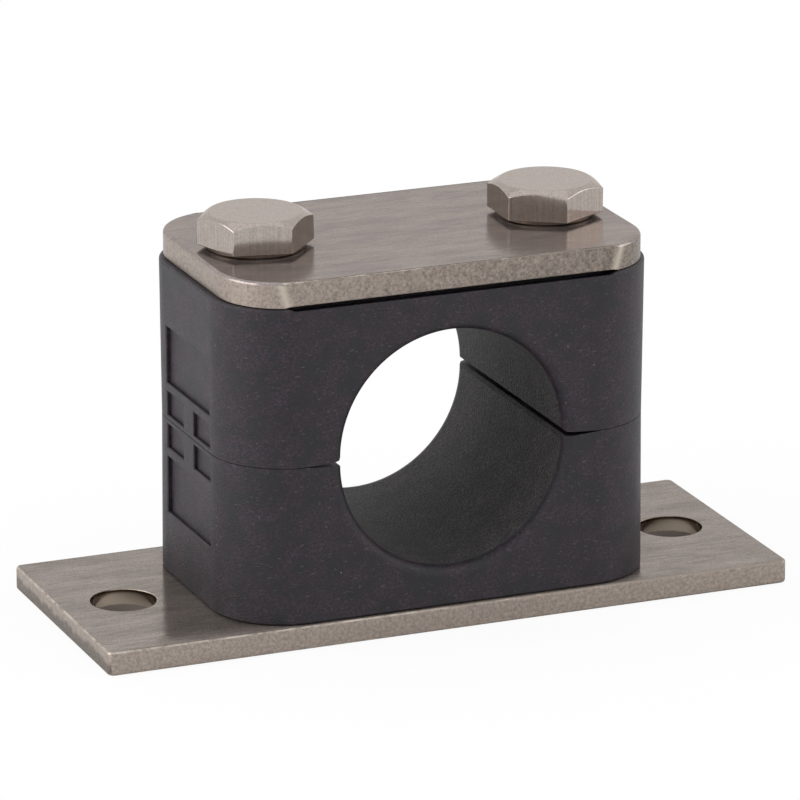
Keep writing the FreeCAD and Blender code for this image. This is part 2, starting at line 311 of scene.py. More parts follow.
# The rebates along the long edges of the outer face, which get deeper inwards and so look black
def makeRebateTools():
    size = clampHalf
    length = size["rebateLength"] / 2
    inner = halfHigh.y - size["rebateWidth"]
    top = halfLow.z + size["rebateDepth"]
    tools = []
    for side in (-1, 1):
        start, end = sorted((side * inner, side * halfHigh.y))
        tool = addBox("rebate", (-length, start, halfLow.z - reach), (length, end, top))
        startEdit(tool)
        pick(tool, "VERT", lambda vert: (
            vert.co.y * side > inner * mm + near and vert.co.z > halfLow.z * mm))
        bpy.ops.transform.translate(value=(0, 0, (size["rebateMouth"] - size["rebateDepth"]) * mm))
        pick(tool, "VERT", lambda vert: vert.co.z > halfLow.z * mm)
        bpy.ops.transform.resize(value=(1 - size["rebateRunOut"] / length, 1, 1), center_override=(0, 0, 0))
        pick(tool, "FACE", lambda face: face.normal.y * side > facing)
        bpy.ops.mesh.extrude_region_move(TRANSFORM_OT_translate={"value": (0, side * reach * mm, 0)})
        endEdit()
        tools.append(tool)
    return tools


# The recessed panels of both end faces, each with a chamfered edge
def makePanelTools():
    size = clampHalf
    low = splitHeight - size["smallPanelOffset"]
    width, height = size["smallPanel"]
    panels = [(side * (size["smallPanelGap"] + width) / 2, low - height, width, height) for side in (-1, 1)]
    low = low - height - size["rowGap"]
    width, height = size["largePanel"]
    panels.append((0, low - height, width, height))
    floor = halfHigh.x - size["panelDepth"]
    edge = size["panelEdge"]
    flare = 3 * edge
    tools = []
    for side in (-1, 1):
        for y, z, width, height in panels:
            drop = (z + height / 2 - halfLow.z) * math.tan(math.radians(size["draft"]))
            face = halfHigh.x - drop
            ends = sorted((side * floor, side * (face - edge)))
            tool = addBox("panel", (ends[0], y - width / 2, z), (ends[1], y + width / 2, z + height))
            startEdit(tool)
            pick(tool, "FACE", lambda found: found.normal.x * side > facing)
            bpy.ops.mesh.extrude_region_move(TRANSFORM_OT_translate={"value": (side * flare * mm, 0, 0)})
            bpy.ops.transform.resize(
                value=(1, (width + 2 * flare) / width, (height + 2 * flare) / height),
                center_override=(0, y * mm, (z + height / 2) * mm))
            endEdit()
            tools.append(tool)
    return tools


def makeLowerHalf():
    size = clampHalf
    half = addBox("lowerHalf", halfLow, halfHigh)
    narrowing = (splitHeight - halfLow.z) * math.tan(math.radians(size["draft"]))
    startEdit(half)
    pick(half, "FACE", lambda face: face.normal.z > facing)
    bpy.ops.transform.resize(
        value=(1 - narrowing / halfHigh.x, 1 - narrowing / halfHigh.y, 1),
        center_override=(0, 0, splitHeight * mm))
    endEdit()
    roundEdges(half, isUpright, size["cornerRadius"], segments=24)
    roundEdges(half, lambda edge: atHeight(edge, halfLow.z), size["outerEdgeRound"], segments=4)
    roundEdges(half, lambda edge: atHeight(edge, splitHeight), size["matingEdgeRound"], segments=2)
    combine(half, makeBoreTool(narrowing))
    combine(half, makeReliefTool())
    for x in (-boltX, boltX):
        foot = (x, 0, halfLow.z - reach)
        height = splitHeight - halfLow.z + 2 * reach
        combine(half, addRod("boltHole", foot, height, size["boltHoleRadius"]))
        combine(half, addRod("seat", foot, size["collarSeatDepth"] + reach, size["collarSeatRadius"]))
    for tool in makeRebateTools() + makePanelTools():
        combine(half, tool)
    finishSurface(half)
    print("Lower clamp half modelled")
    return half


def makeUpperHalf(lowerHalf):
    activate(lowerHalf)
    bpy.ops.object.duplicate()
    half = bpy.context.object
    half.name = "upperHalf"
    half.data.name = "upperHalf"
    half.rotation_euler = (0, math.pi, 0)
    half.location = (0, 0, 2 * splitHeight * mm)
    setPlace(half)
    print("Upper clamp half modelled")
    return half


# Cover plate: punched with round corners, which rolls its top edge over, then sheared along its long sides

coverPlate = {
    "cornerRadius": 7.0,
    "shearAllowance": 0.35,
    "topEdgeRound": 0.38,
    "bottomEdgeRound": 0.15,
    "shearedEdgeRound": 0.13,
    "lipX": 18.8,
    "lipSlope": 5.0,
    "lipHeight": 0.14,
    "lipDepth": 0.6,
    "boltHoleRadius": 3.3,
    "holeEdgeRound": 0.2,
}


# The lower edge of a sheared side was drawn up a little, which leaves a lip at each corner
def makeLipTool(side):
    size = coverPlate
    start, end = sorted((side * (coverHigh.y - size["lipDepth"]), side * (coverHigh.y + reach)))
    rise = size["lipHeight"] * (reach + size["lipDepth"]) / size["lipDepth"]
    tool = addBox("lip", (-size["lipX"], start, coverLow.z - reach), (size["lipX"], end, coverLow.z + rise))
    startEdit(tool)
    pick(tool, "VERT", lambda vert: vert.co.z < coverLow.z * mm)
    bpy.ops.transform.resize(value=(1 + size["lipSlope"] / size["lipX"], 1, 1), center_override=(0, 0, 0))
    pick(tool, "VERT", lambda vert: abs(vert.co.y) < coverHigh.y * mm and vert.co.z > coverLow.z * mm)
    bpy.ops.transform.translate(value=(0, 0, -rise * mm))
    pick(tool, "VERT", lambda vert: abs(vert.co.y) > coverHigh.y * mm and vert.co.z > coverLow.z * mm)
    bpy.ops.transform.resize(
        value=(1 - size["lipSlope"] * rise / size["lipX"], 1, 1), center_override=(0, 0, 0))
    endEdit()
    return tool


def makeCoverPlate():
    size = coverPlate
    spare = Vector((0, size["shearAllowance"], 0))
    plate = addBox("coverPlate", coverLow - spare, coverHigh + spare)
    roundEdges(plate, isUpright, size["cornerRadius"], segments=28)
    roundEdges(plate, lambda edge: atHeight(edge, coverHigh.z), size["topEdgeRound"], segments=5)
    roundEdges(plate, lambda edge: atHeight(edge, coverLow.z), size["bottomEdgeRound"], segments=3)
    low, high = coverLow.z - reach, coverHigh.z + reach
    for side in (-1, 1):
        start, end = sorted((side * coverHigh.y, side * (coverHigh.y + reach)))
        combine(plate, addBox("shear", (coverLow.x - reach, start, low), (coverHigh.x + reach, end, high)))
        combine(plate, makeLipTool(side))
    roundEdges(
        plate, lambda edge: isSharp(edge) and all(
            abs(abs(vert.co.y) - coverHigh.y * mm) < near for vert in edge.verts),
        size["shearedEdgeRound"], segments=2)
    for x in (-boltX, boltX):
        radius = size["boltHoleRadius"]
        combine(plate, addRod("boltHole", (x, 0, low), high - low, radius))
        for height in (coverLow.z, coverHigh.z):
            roundEdges(
                plate, lambda edge: onRing(edge, x, 0, radius, height), size["holeEdgeRound"], segments=3)
    finishSurface(plate)
    print("Cover plate modelled")
    return plate


# Hexagon bolts

hexBolt = {
    "acrossFlats": 10.8,
    "washerRadius": 5.2,
    "washerHeight": 0.45,
    "washerUndercut": 0.12,
    "washerOverlap": 0.6,
    "topRadius": 4.9,
    "coneAngle": 30,
    "coneSpare": 0.4,
    "blankDepth": 4.0,
    "edgeRound": 0.09,
    "edgeAngle": 20,
    "dishRadius": 2.3,
    "dishRim": 0.5,
    "dishDepth": 0.08,
    "majorRadius": 3.0,
    "threadRadius": 2.985,
    "pitch": 1.0,
    "threadSteps": 48,
    "threadDepth": 0.61,
    "crestWidth": 0.16,
    "rootWidth": 0.12,
    "tipChamfer": 0.7,
    "tipSpare": 0.2,
    "threadOverlap": 0.3,
    "plainLength": 1.2,
    "neckOverlap": 0.2,
    "turns": {"hexBoltLeft": 47.4, "hexBoltRight": 28.3},
    "flatLeans": {"hexBoltLeft": 2.2, "hexBoltRight": 0},
}


def makeHead(name):
    size = hexBolt
    corner = size["acrossFlats"] / math.sqrt(3)
    bottom = seatHeight + size["washerHeight"]
    height = boltHigh.z - bottom
    narrow = corner - height * math.tan(math.radians(size["flatLeans"][name]))
    head = addRod(name, (0, 0, bottom), height, corner, narrow, sides=6, turn=30)
    coneRadius = corner + size["coneSpare"]
    coneHeight = (coneRadius - size["topRadius"]) * math.tan(math.radians(size["coneAngle"]))
    blank = addRod("blank", (0, 0, boltHigh.z - coneHeight), coneHeight, coneRadius, size["topRadius"])
    startEdit(blank)
    pick(blank, "FACE", lambda face: face.normal.z < -facing)
    bpy.ops.mesh.extrude_region_move(TRANSFORM_OT_translate={"value": (0, 0, -size["blankDepth"] * mm)})
    endEdit()
    combine(head, blank, "INTERSECT")
    activate(head)
    modifier = head.modifiers.new("edges", "BEVEL")
    modifier.width = size["edgeRound"] * mm
    modifier.segments = 3
    modifier.limit_method = "ANGLE"
    modifier.angle_limit = math.radians(size["edgeAngle"])
    bpy.ops.object.modifier_apply(modifier=modifier.name)
    depth = size["dishDepth"]
    rim = size["dishRim"]
    dish = addRod(
        "dish", (0, 0, boltHigh.z - depth), 2 * depth, size["dishRadius"] - rim, size["dishRadius"] + rim)
    combine(head, dish)
    undercut = size["washerUndercut"]
    radius = size["washerRadius"]
    washer = addRod("washerFace", (0, 0, seatHeight), undercut, radius - undercut, radius)
    startEdit(washer)
    pick(washer, "FACE", lambda face: face.normal.z > facing)
    rise = size["washerHeight"] + size["washerOverlap"] - undercut
    bpy.ops.mesh.extrude_region_move(TRANSFORM_OT_translate={"value": (0, 0, rise * mm)})
    endEdit()
    combine(head, washer, "UNION")
    return head


# One pitch of the thread's outline is wound up into a closed bar, then cut to length with a chamfered tip
def makeThread():
    size = hexBolt
    core = size["threadRadius"] - size["threadDepth"]
    footWidth = size["pitch"] - size["rootWidth"]
    spare = 2 * size["pitch"]
    length = seatHeight - size["plainLength"] - boltLow.z
    bpy.ops.object.select_all(action="DESELECT")
    bpy.ops.mesh.primitive_plane_add(
        size=1, location=((core + size["threadRadius"]) / 2 * mm, 0, (boltLow.z - spare) * mm),
        rotation=(math.pi / 2, 0, 0))
    bar = bpy.context.object
    bar.name = "thread"
    bar.scale = (size["threadDepth"] * mm, footWidth * mm, 1)
    setPlace(bar)
    startEdit(bar)
    pick(bar, "VERT", lambda vert: vert.co.x > core * mm + near)
    bpy.ops.transform.resize(value=(1, 1, size["crestWidth"] / footWidth))
    pick(bar, "EDGE", lambda edge: all(vert.co.x < core * mm + near for vert in edge.verts))
    bpy.ops.mesh.delete(type="EDGE")
    top = (boltLow.z - spare + footWidth / 2) * mm
    pick(bar, "VERT", lambda vert: vert.co.x < core * mm + near and vert.co.z > top - near)
    bpy.ops.mesh.extrude_vertices_move(TRANSFORM_OT_translate={"value": (0, 0, size["rootWidth"] * mm)})
    endEdit()
    modifier = bar.modifiers.new("winding", "SCREW")
    modifier.steps = size["threadSteps"]
    modifier.render_steps = size["threadSteps"]
    modifier.screw_offset = size["pitch"] * mm
    modifier.iterations = int((length + 2 * spare) / size["pitch"])
    bpy.ops.object.modifier_apply(modifier=modifier.name)
    startEdit(bar)
    bpy.ops.mesh.select_all(action="SELECT")
    bpy.ops.mesh.remove_doubles(threshold=0.001 * mm)
    bpy.ops.mesh.fill_holes(sides=0)
    bpy.ops.mesh.normals_make_consistent(inside=False)
    endEdit()
    taper = size["tipChamfer"] + size["tipSpare"]
    tipRadius = size["majorRadius"] - size["tipChamfer"]
    limit = addRod("limit", (0, 0, boltLow.z), taper, tipRadius, tipRadius + taper, sides=64)
    startEdit(limit)
    pick(limit, "FACE", lambda face: face.normal.z > facing)
    rise = length - taper + size["threadOverlap"]
    bpy.ops.mesh.extrude_region_move(TRANSFORM_OT_translate={"value": (0, 0, rise * mm)})
    endEdit()
    combine(bar, limit, "INTERSECT")
    return bar


def makeBolts():
    size = hexBolt
    neckFoot = (0, 0, seatHeight - size["plainLength"])
    neckLength = size["plainLength"] + size["neckOverlap"]
    bolts = []
    for (name, turn), x in zip(size["turns"].items(), (-boltX, boltX)):
        bolt = makeHead(name)
        combine(bolt, makeThread(), "UNION")
        combine(bolt, addRod("neck", neckFoot, neckLength, size["majorRadius"]), "UNION")
        bolt.rotation_euler.z = math.radians(turn)
        bolt.location.x = x * mm
        setPlace(bolt)
        finishSurface(bolt, angle=24)
        bolts.append(bolt)
    print("Bolts modelled")
    return bolts


plate = makeWeldPlate()
lowerHalf = makeLowerHalf()
upperHalf = makeUpperHalf(lowerHalf)
cover = makeCoverPlate()
leftBolt, rightBolt = makeBolts()


# Materials

def srgb(code):
    values = [int(code[i:i + 2], 16) / 255 for i in (1, 3, 5)]
    linear = [value / 12.92 if value <= 0.04045 else ((value + 0.055) / 1.055) ** 2.4 for value in values]
    return linear + [1]


def newMaterial(name):
    material = bpy.data.materials.new(name)
    material.use_nodes = True
    material.node_tree.nodes.clear()
    return material


# A socket's value is a number, a colour or another node's output
def addNode(tree, kind, settings, sockets):
    node = tree.nodes.new("ShaderNode" + kind)
    for name, value in settings.items():
        setattr(node, name, value)
    for name, value in sockets.items():
        if isinstance(value, bpy.types.NodeSocket):
            tree.links.new(value, node.inputs[name])
        else:
            node.inputs[name].default_value = value
    return node


# A new material with its node tree and the place on the object, where every pattern is laid
def startMaterial(name):
    material = newMaterial(name)
    tree = material.node_tree
    return material, tree, addNode(tree, "TexCoord", {}, {}).outputs["Object"]


def finishMaterial(tree, sockets):
    shader = addNode(tree, "BsdfPrincipled", {}, sockets)
    addNode(tree, "OutputMaterial", {}, {"Surface": shader.outputs[0]})


# Noise whose patches have one size, or a size along each axis
def noise(tree, place, size, detail, roughness=0.5, turn=(0, 0, 0)):
    sizes = size if isinstance(size, tuple) else (size, size, size)
    scaled = addNode(tree, "Mapping", {}, {
        "Vector": place, "Rotation": [math.radians(angle) for angle in turn],
        "Scale": [1 / length / mm for length in sizes]})
    return addNode(tree, "TexNoise", {}, {
        "Vector": scaled.outputs[0], "Scale": 1, "Detail": detail, "Roughness": roughness}).outputs[0]


# Scattered spots of about one width, with their cells' random colours. The core is the share that is full
def spots(tree, place, spacing, width, core):
    cells = addNode(tree, "TexVoronoi", {}, {"Vector": place, "Scale": 1 / spacing / mm})
    edge = width / spacing / 2
    return remap(tree, cells.outputs["Distance"], (edge * core, edge), (1, 0)), cells.outputs["Color"]


def remap(tree, value, source, target=(0, 1), kind="LINEAR"):
    return addNode(tree, "MapRange", {"interpolation_type": kind}, {
        "Value": value, "From Min": source[0], "From Max": source[1],
        "To Min": target[0], "To Max": target[1]}).outputs[0]


def calculate(tree, operation, *values):
    return addNode(tree, "Math", {"operation": operation}, dict(enumerate(values))).outputs[0]


def blend(tree, share, first, second, kind="MIX"):
    return addNode(tree, "MixRGB", {"blend_type": kind}, {
        "Fac": share, "Color1": first, "Color2": second}).outputs[0]


def addBump(tree, height, strength, depth):
    return addNode(tree, "Bump", {}, {
        "Height": height, "Strength": strength, "Distance": depth * mm}).outputs[0]


# Pickled stainless sheet: the pickled skin scatters part of the light, and the rest is a satin reflection.
# Fine lines and faint cloudy patches run along the sheet, with slanting scratches and small pits. Along its
# long edges the weld plate is rubbed dull
stainlessSheet = {
    "colour": "#958B85",
    "cloudColour": "#837A74",
    "pitColour": "#5E5550",
    "scratchColour": "#B9AEA6",
    "edgeTint": "#D8D4D0",
    "metalShare": 0.68,
    "roughness": (0.12, 0.18),
    "roughRange": (0.35, 0.65),
    "lineSpacing": 0.13,
    "lineLength": 2.5,
    "grainSize": 0.14,
    "lineRange": (0.7, 1.3),
    "lineContrast": 0.4,
    "lineDepth": 0.006,
    "lineBump": 0.3,
    "cloudSize": 2.2,
    "cloudLength": 7.0,
    "cloudRange": (0.38, 0.66),
    "scratchLength": 7,
    "scratchWidth": 0.12,
    "scratchLean": 38,
    "scratchRange": (0.62, 0.7),
    "scratchShare": 0.35,
    "pitSpacing": 1.3,
    "pitWidth": 0.16,
    "pitCore": 0.5,
    "borderRange": (plateHigh.y - 1.56, plateHigh.y + 1.3),
    "borderWander": 2.6,
    "borderRoughness": 0.5,
    "borderMetal": 0.45,
}

# The cover plate's face keeps less of the pickled skin, so it mirrors the bolts' heads more clearly, and it
# has no rubbed border
coverSheet = {
    **stainlessSheet,
    "colour": "#9A908D",
    "cloudColour": "#8B8280",
    "metalShare": 0.84,
    "roughness": (0.15, 0.21),
    "lineContrast": 0.33,
    "borderRange": (plateHigh.y, plateHigh.y + 1),
    "borderWander": 0,
}


def makeStainlessSheet(name, look):
    material, tree, place = startMaterial(name)
    lines = noise(tree, place, (look["lineLength"], look["lineSpacing"], 1), detail=3, roughness=0.6)
    grain = noise(tree, place, look["grainSize"], detail=2)
    clouds = noise(tree, place, (look["cloudLength"], look["cloudSize"], 1), detail=3, roughness=0.55)
    scratches = noise(
        tree, place, (look["scratchLength"], look["scratchWidth"], 1), detail=1,
        turn=(0, 0, look["scratchLean"]))
    pitMask = spots(tree, place, look["pitSpacing"], look["pitWidth"], look["pitCore"])[0]
    cloudMask = remap(tree, clouds, look["cloudRange"])
    cloudy = blend(tree, cloudMask, srgb(look["colour"]), srgb(look["cloudColour"]))
    relief = calculate(tree, "ADD", lines, grain)
    lineShade = remap(tree, relief, look["lineRange"], (1 - look["lineContrast"], 1 + look["lineContrast"]))
    lined = blend(tree, 1, cloudy, lineShade, "MULTIPLY")
    scratchMask = remap(tree, scratches, look["scratchRange"], (0, look["scratchShare"]))
    scratched = blend(tree, scratchMask, lined, srgb(look["scratchColour"]))
    colour = blend(tree, pitMask, scratched, srgb(look["pitColour"]))
    axes = addNode(tree, "SeparateXYZ", {}, {"Vector": place})
    aside = calculate(tree, "ABSOLUTE", axes.outputs["Y"])
    ragged = calculate(tree, "MULTIPLY_ADD", clouds, look["borderWander"] * mm, aside)
    border = remap(tree, ragged, [y * mm for y in look["borderRange"]])
    cloudyRoughness = remap(tree, clouds, look["roughRange"], look["roughness"])
    finishMaterial(tree, {
        "Base Color": colour,
        "Metallic": remap(tree, border, (0, 1), (look["metalShare"], look["borderMetal"])),
        "Roughness": remap(tree, border, (0, 1), (cloudyRoughness, look["borderRoughness"])),
        "Specular Tint": srgb(look["edgeTint"]),
        "Normal": addBump(tree, relief, look["lineBump"], look["lineDepth"])})
    return material


# Sheared stainless edge: duller and warmer than the sheet's face, with a fine torn grain, and darker in the
# lower part of the weld plate's ends, where the metal tore ragged below the shear's cut
shearedEdge = {
    "colour": "#AFA39A",
    "darkColour": "#867C74",
    "paintedHighlightColour": "#C4B9AC",
    "darkRange": (0.6, 1.02),
    "roughness": 0.4,
    "grainSize": 0.12,
    "grainShare": 0.6,
    "grainDepth": 0.015,
    "grainBump": 0.6,
    "patchSize": 0.35,
    "paintedHighlightShare": 0,
    "bandX": 18.75,
    "bandWidth": 0.75,
    "bandLean": 0.3,
    "xDarkening": 0,
    "breakRange": (2.45, 2.9),
    "breakShade": (0.55, 1.12),
    "breakSize": 1.4,
    "breakWander": 2.4,
}

# The cover plate's edge is darker and more torn, and darkens towards +X. A paler stripe leans across it at
# each kink where the shear ran out: a painted highlight
coverEdge = {
    **shearedEdge,
    "colour": "#A2968D",
    "darkColour": "#6E665F",
    "grainSize": 0.1,
    "xDarkening": 5,
    "paintedHighlightShare": 0.75,
    "rimWidth": 0.2,
}


def makeShearedEdge(name, look):
    material, tree, place = startMaterial(name)
    axes = addNode(tree, "SeparateXYZ", {}, {"Vector": place})
    sideways = calculate(tree, "ABSOLUTE", axes.outputs["X"])
    grain = noise(tree, place, look["grainSize"], detail=3, roughness=0.65)
    patches = noise(tree, place, look["patchSize"], detail=4, roughness=0.6)
    mixed = calculate(tree, "MULTIPLY_ADD", grain, look["grainShare"], patches)
    # The edge darkens steadily towards +X by this slope
    torn = calculate(tree, "MULTIPLY_ADD", axes.outputs["X"], look["xDarkening"], mixed)
    mottled = blend(
        tree, remap(tree, torn, look["darkRange"]), srgb(look["colour"]), srgb(look["darkColour"]))
    # The paler stripe that leans across the edge at bandX is a painted highlight
    leaning = calculate(tree, "MULTIPLY_ADD", axes.outputs["Z"], -look["bandLean"], sideways)
    bandPlace = (look["bandX"] - look["bandLean"] * (coverLow.z + coverHigh.z) / 2) * mm
    distance = calculate(tree, "ABSOLUTE", calculate(tree, "SUBTRACT", leaning, bandPlace))
    band = remap(tree, distance, (0, look["bandWidth"] * mm), (look["paintedHighlightShare"], 0), "SMOOTHSTEP")
    banded = blend(tree, band, mottled, srgb(look["paintedHighlightColour"]))
    waves = noise(tree, place, look["breakSize"], detail=4, roughness=0.65)
    ragged = calculate(tree, "MULTIPLY_ADD", waves, look["breakWander"] * mm, axes.outputs["Z"])
    shade = remap(tree, ragged, [height * mm for height in look["breakRange"]], look["breakShade"])
    onEnd = calculate(tree, "GREATER_THAN", sideways, (plateHigh.x - weldPlate["edgeRound"]) * mm)
    finishMaterial(tree, {
        "Base Color": blend(tree, onEnd, banded, shade, "MULTIPLY"), "Metallic": 1,
        "Roughness": look["roughness"],
        "Normal": addBump(tree, mixed, look["grainBump"], look["grainDepth"])})
    return material


# Worn stainless edge: the rounded edges of the plates, partly rubbed bright by handling and partly a painted
# highlight, a thin light line that breaks up in patches and fades towards +X, where the painted highlight is
# taken down
wornEdge = {
    "colour": "#C2B7AC",
    "dullColour": "#8F857C",
    "dullRange": (0.4, 0.62),
    "roughness": (0.3, 0.5),
    "patchSize": 1.6,
    "highlightFadeRange": (-12, 22),
    "highlightFadeShare": 0.24,
}


def makeWornEdge(name, look):
    material, tree, place = startMaterial(name)
    axes = addNode(tree, "SeparateXYZ", {}, {"Vector": place})
    patches = noise(tree, place, look["patchSize"], detail=4, roughness=0.7)
    # Duller towards +X, so the painted highlight fades there
    fade = remap(tree, axes.outputs["X"], [x * mm for x in look["highlightFadeRange"]], (0, look["highlightFadeShare"]))
    mask = remap(tree, calculate(tree, "ADD", patches, fade), look["dullRange"])
    finishMaterial(tree, {
        "Base Color": blend(tree, mask, srgb(look["colour"]), srgb(look["dullColour"])), "Metallic": 1,
        "Roughness": remap(tree, mask, (0, 1), look["roughness"])})
    return material


# Punched stainless wall: burnished smooth by the punch, so that it mirrors what is below and in front, brown
# just below its mouth, and torn and dull near the underside
punchedWall = {
    "colour": "#AA9D8F",
    "tornColour": "#8D847E",
    "mouthColour": "#5B4C3E",
    "roughness": (0.14, 0.5),
    "tornRange": (0.95, 1.1),
    "tornWander": 0.3,
    "mouthRange": (plateTop - 0.5, plateTop - 0.25),
    "grainSize": 0.2,
}


def makePunchedWall(name, look):
    material, tree, place = startMaterial(name)
    height = addNode(tree, "SeparateXYZ", {}, {"Vector": place}).outputs["Z"]
    grain = noise(tree, place, look["grainSize"], detail=3)
    ragged = calculate(tree, "MULTIPLY_ADD", grain, look["tornWander"] * mm, height)
    torn = remap(tree, ragged, [z * mm for z in look["tornRange"]], (1, 0))
    smooth = blend(tree, torn, srgb(look["colour"]), srgb(look["tornColour"]))
    mouth = remap(tree, height, [z * mm for z in look["mouthRange"]])
    finishMaterial(tree, {
        "Base Color": blend(tree, mouth, smooth, srgb(look["mouthColour"])), "Metallic": 1,
        "Roughness": remap(tree, torn, (0, 1), look["roughness"])})
    return material


# Cold-formed stainless steel: smooth and satin, with fine drawn lines down the flats and a soft mottle
formedSteel = {
    "colour": "#B7ADA6",
    "darkColour": "#948B85",
    "darkRange": (0.65, 1.25),
    "edgeTint": "#F0EDEA",
    "roughness": 0.12,
    "lineSpacing": 0.11,
    "lineLength": 5.0,
    "lineShare": 0.9,
    "mottleSize": 0.25,
    "mottleDepth": 0.008,
    "mottleBump": 0.03,
}

# The underside of a head, with its washer face, is darker and brown: painted shade where the head sits on
# the cover
scaledSteel = {
    **formedSteel,
    "colour": "#75695F",
    "darkColour": "#574D45",
    "roughness": 0.35,
}


def makeFormedSteel(name, look):
    material, tree, place = startMaterial(name)
    lines = noise(tree, place, (look["lineSpacing"], look["lineSpacing"], look["lineLength"]), detail=2)
    mottle = noise(tree, place, look["mottleSize"], detail=4, roughness=0.65)
    mixed = calculate(tree, "MULTIPLY_ADD", lines, look["lineShare"], mottle)
    mask = remap(tree, mixed, look["darkRange"])
    finishMaterial(tree, {
        "Base Color": blend(tree, mask, srgb(look["colour"]), srgb(look["darkColour"])), "Metallic": 1,
        "Roughness": look["roughness"], "Specular Tint": srgb(look["edgeTint"]),
        "Normal": addBump(tree, mixed, look["mottleBump"], look["mottleDepth"])})
    return material


# Moulded black polypropylene: a matte near-black with a reddish violet mottle in patches, a fine
# spark-eroded grain, short faint dashes that lean a little, and a few light specks
blackPlastic = {
    "colour": "#09080E",
    "castColour": "#2E1D2A",
    "castRange": (0.42, 0.76),
    "dashColour": "#4A464D",
    "speckColour": "#87848A",
    "roughness": 0.5,
    "shine": 0.45,
    "grainSize": 0.17,
    "grainDepth": 0.1,
    "grainBump": 0.8,
    "mottleSize": 0.3,
    "patchSize": 2.5,
    "patchRange": (0.38, 0.62),
    "patchShare": (0.2, 1.9),
    "dashLength": 0.55,
    "dashWidth": 0.2,
    "dashLean": -25,
    "dashRange": (0.64, 0.78),
    "dashShare": 0.6,
    "speckSpacing": 1.6,
    "speckWidth": 0.2,
    "speckCore": 0.4,
    "speckRange": (0.6, 0.9),
    "speckShare": 0.8,
}

# The bore is spark-eroded more coarsely, so it looks warmer and takes less shine
boreGrain = {
    **blackPlastic,
    "colour": "#100E0E",
    "castColour": "#565050",
    "dashShare": 0,
    "roughness": 0.66,
    "shine": 0.38,
    "mottleSize": 0.2,
    "patchShare": (0.8, 1.3),
    "grainSize": 0.3,
    "grainDepth": 0.36,
}


def makeBlackPlastic(name, look):
    material, tree, place = startMaterial(name)
    grain = noise(tree, place, look["grainSize"], detail=2, roughness=0.6)
    mottle = noise(tree, place, look["mottleSize"], detail=3, roughness=0.7)
    patches = noise(tree, place, look["patchSize"], detail=2)
    dashSizes = (look["dashLength"], look["dashLength"], look["dashWidth"])
    dashes = noise(tree, place, dashSizes, detail=1, turn=(0, look["dashLean"], 0))
    speckMask, speckShades = spots(tree, place, look["speckSpacing"], look["speckWidth"], look["speckCore"])
    chosen = addNode(tree, "SeparateColor", {}, {"Color": speckShades}).outputs[0]
    shown = remap(tree, chosen, look["speckRange"], (0, look["speckShare"]))
    patchShare = remap(tree, patches, look["patchRange"], look["patchShare"])
    castMask = calculate(tree, "MULTIPLY", remap(tree, mottle, look["castRange"]), patchShare)
    cast = blend(tree, castMask, srgb(look["colour"]), srgb(look["castColour"]))
    dashMask = remap(tree, dashes, look["dashRange"], (0, look["dashShare"]))
    dashed = blend(tree, dashMask, cast, srgb(look["dashColour"]))
    specked = blend(
        tree, calculate(tree, "MULTIPLY", speckMask, shown), dashed, srgb(look["speckColour"]))
    finishMaterial(tree, {
        "Base Color": specked, "Roughness": look["roughness"], "Specular IOR Level": look["shine"],
        "Normal": addBump(tree, grain, look["grainBump"], look["grainDepth"])})
    return material


sheet = makeStainlessSheet("pickledStainlessSheet", stainlessSheet)
smoothSheet = makeStainlessSheet("smoothStainlessSheet", coverSheet)
sheared = makeShearedEdge("shearedStainlessEdge", shearedEdge)
tornEdge = makeShearedEdge("tornStainlessEdge", coverEdge)
punched = makePunchedWall("burnishedStainlessWall", punchedWall)
worn = makeWornEdge("rubbedStainlessEdge", wornEdge)
formed = makeFormedSteel("coldFormedStainless", formedSteel)
# The under-head material paints the shade under each bolt's head
scaled = makeFormedSteel("scaledStainless", scaledSteel)
plastic = makeBlackPlastic("mouldedBlackPolypropylene", blackPlastic)
bored = makeBlackPlastic("grainedBlackPolypropylene", boreGrain)


# The last material whose test a face passes goes on that face
def dress(piece, material, others=()):
    piece.data.materials.clear()
    piece.data.materials.append(material)
    for index, (other, test) in enumerate(others):
        piece.data.materials.append(other)
        for face in piece.data.polygons:
            if test(face):
                face.material_index = index + 1
    print("Material on", piece.name, "is", material.name)


def isOutline(face):
    return abs(face.normal.z) < upright


def isRoundedEdge(face):
    return upright < abs(face.normal.z) < facing


# The rounded upper edge of the cover's sheared sides
def isShearedRim(face):
    inside = abs(face.center.x) < coverEdge["bandX"] * mm
    outer = abs(face.center.y) > (coverHigh.y - coverEdge["rimWidth"]) * mm
    return isRoundedEdge(face) and face.normal.z > 0 and inside and outer


def isInHole(face):
    radius = weldPlate["fixingHoleRadius"] + weldPlate["holeEdgeRound"] / 2
    return isOutline(face) and any(
        math.hypot(face.center.x - x * mm, face.center.y) < radius * mm
        for x in (-weldPlate["fixingHoleX"], weldPlate["fixingHoleX"]))


# The underside of a bolt's head, with the washer face
def isUnderHead(face):
    bottom = seatHeight + hexBolt["washerHeight"]
    return seatHeight * mm - near < face.center.z < bottom * mm + near and face.normal.z < upright


def isInBore(face):
    size = clampHalf
    radius = math.hypot(face.center.x / mm, face.center.z / mm - splitHeight)
    limit = size["boreRadius"] + size["boreInset"] + size["boreMargin"]
    return radius < limit and abs(face.center.y) < (halfHigh.y - size["rimRound"]) * mm


# The rubbed edge material also paints a highlight along the plates' rounded edges
dress(plate, sheet, ((sheared, isOutline), (worn, isRoundedEdge), (punched, isInHole)))
dress(cover, smoothSheet, ((tornEdge, isOutline), (worn, isShearedRim)))
dress(lowerHalf, plastic, ((bored, isInBore),))
dress(upperHalf, plastic, ((bored, isInBore),))
# The undersides of the heads get the darker brown material, which paints the shade there
dress(leftBolt, formed, ((scaled, isUnderHead),))
dress(rightBolt, formed, ((scaled, isUnderHead),))


